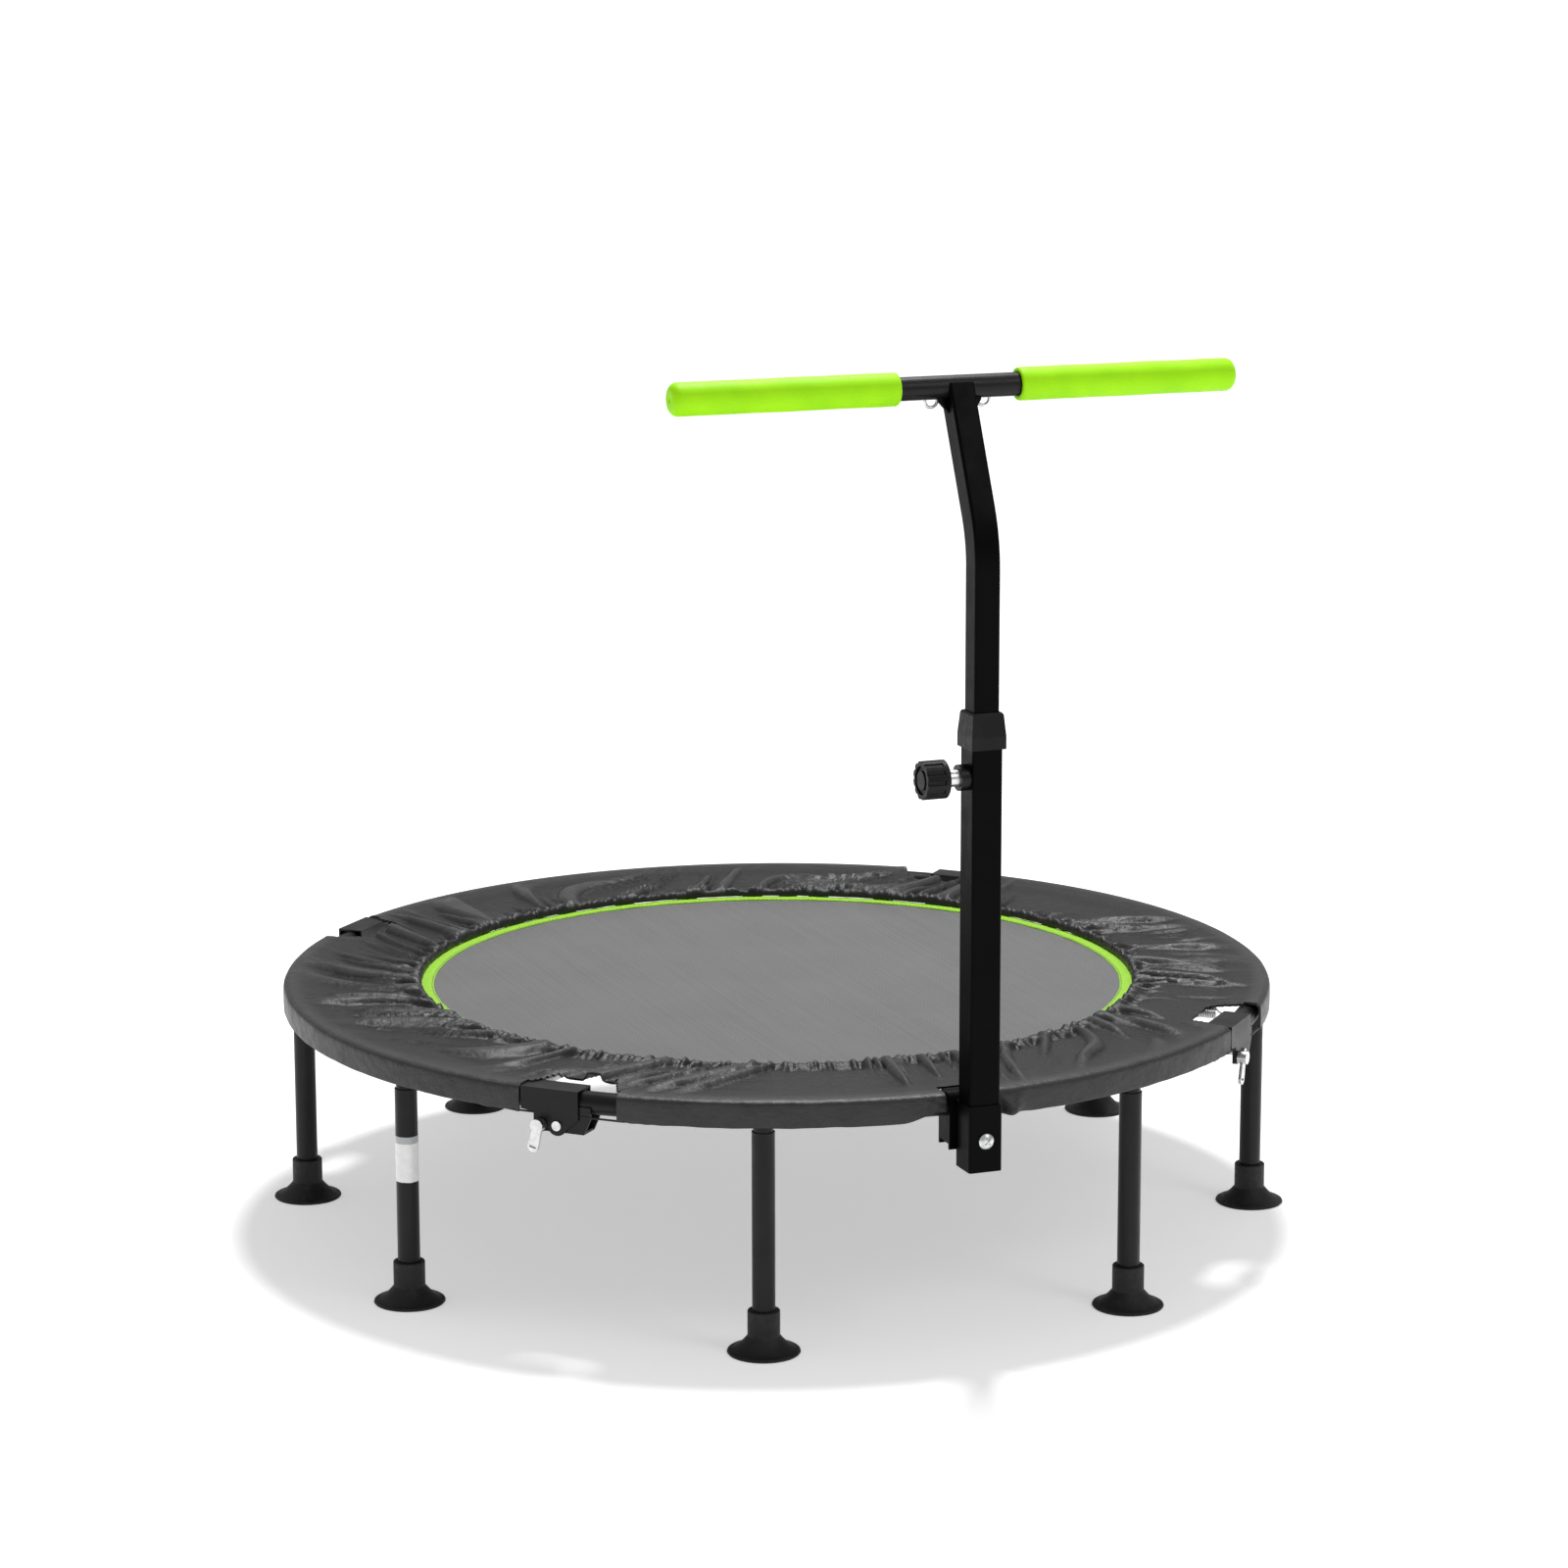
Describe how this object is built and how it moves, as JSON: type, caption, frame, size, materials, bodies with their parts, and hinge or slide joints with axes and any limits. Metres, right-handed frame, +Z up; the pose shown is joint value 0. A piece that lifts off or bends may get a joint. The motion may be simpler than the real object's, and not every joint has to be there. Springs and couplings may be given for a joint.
{
  "type": "folding mini trampoline",
  "caption": "Round folding mini trampoline on short legs with suction feet, with a gathered edge cover and a T-shaped handle on a square telescopic post.",
  "frame": {"origin": "on the floor, under the middle of the whole footprint; the ring's centre is 18.25 mm towards +Y because the handle post stands out in front", "axes": "+Z up; the handle post stands on the -Y side and its crossbar runs along X; the fold line runs at 45 degrees from +X towards +Y"},
  "size_m": [1.0208, 1.0574, 0.9205],
  "materials": {
    "frame_black": "satin powder coat",
    "zinc": "bright zinc plating",
    "black_plastic": "fine moulded texture",
    "black_rubber": "satin moulded rubber",
    "mat_weave": "woven polypropylene",
    "mat_edge": "woven edge binding",
    "cover_cloth": "coated polyester cloth",
    "grip_foam": "smooth foam skin"
  },
  "bodies": {
    "fixed_half": {"rim_post_quarter": "frame_black", "rim_right_quarter": "frame_black", "hinge_channels_fixed": "frame_black", "hinge_tongues_fixed": "frame_black", "hinge_rivets_fixed": "zinc", "leg_seats_fixed": "frame_black", "leg_1": "frame_black", "leg_2": "frame_black", "leg_3": "frame_black", "leg_4": "frame_black", "foot_1": "black_rubber", "foot_2": "black_rubber", "foot_3": "black_rubber", "foot_4": "black_rubber", "mat_fixed": "mat_weave", "mat_trim_fixed": "mat_edge", "mat_rings_fixed": "zinc", "springs_fixed": "zinc", "cover_fixed": "cover_cloth", "post_saddle": "frame_black", "post_sleeve": "frame_black", "lower_post": "frame_black", "post_collar": "black_plastic", "knob_boss": "frame_black", "knob_barrel": "zinc", "base_bolt": "zinc", "base_nut": "zinc"},
    "folding_half": {"rim_rear_quarter": "frame_black", "rim_left_quarter": "frame_black", "hinge_channels_folding": "frame_black", "hinge_tongues_folding": "frame_black", "hinge_rivets_folding": "zinc", "leg_seats_folding": "frame_black", "leg_5": "frame_black", "leg_6": "frame_black", "leg_7": "frame_black", "leg_8": "frame_black", "foot_5": "black_rubber", "foot_6": "black_rubber", "foot_7": "black_rubber", "foot_8": "black_rubber", "mat_folding": "mat_weave", "mat_trim_folding": "mat_edge", "mat_rings_folding": "zinc", "springs_folding": "zinc", "cover_folding": "cover_cloth"},
    "wing_bolt_left": {"wing_bolt_left": "zinc"},
    "wing_bolt_front": {"wing_bolt_front": "zinc"},
    "wing_bolt_right": {"wing_bolt_right": "zinc"},
    "wing_bolt_rear": {"wing_bolt_rear": "zinc"},
    "handle": {"sliding_tube": "frame_black", "tube_guide": "black_plastic", "crossbar": "frame_black", "grip_left": "grip_foam", "grip_right": "grip_foam", "band_hooks": "zinc"},
    "knob": {"height_knob": "black_plastic", "locating_pin": "zinc", "pin_spring": "zinc"}
  },
  "joints": [
    {"name": "frame_fold", "type": "hinge", "parent": "fixed_half", "child": "folding_half", "pos_m": [0, 0.01825, 0.213], "axis": [-0.7071, -0.7071, 0], "range_deg": [0, 60]},
    {"name": "handle_height", "type": "slide", "parent": "fixed_half", "child": "handle", "axis": [0, 0, 1], "range_m": [0, 0.2]},
    {"name": "knob_pull", "type": "slide", "parent": "fixed_half", "child": "knob", "axis": [-1, 0, 0], "range_m": [0, 0.006], "stiffness_N_per_m": 1500, "springref_m": -0.002, "deforming": ["pin_spring"]},
    {"name": "wing_bolt_left_turn", "type": "hinge", "parent": "folding_half", "child": "wing_bolt_left", "pos_m": [-0.37618, -0.33389, 0.213], "axis": [-0.7071, -0.7071, 0], "range_deg": [0, 330]},
    {"name": "wing_bolt_front_turn", "type": "hinge", "parent": "fixed_half", "child": "wing_bolt_front", "pos_m": [0.35214, -0.35793, 0.213], "axis": [0.7071, -0.7071, 0], "range_deg": [0, 330]},
    {"name": "wing_bolt_right_turn", "type": "hinge", "parent": "fixed_half", "child": "wing_bolt_right", "pos_m": [0.37618, 0.37039, 0.213], "axis": [0.7071, 0.7071, 0], "range_deg": [0, 330]},
    {"name": "wing_bolt_rear_turn", "type": "hinge", "parent": "folding_half", "child": "wing_bolt_rear", "pos_m": [-0.35214, 0.39443, 0.213], "axis": [-0.7071, 0.7071, 0], "range_deg": [0, 330]}
  ]
}
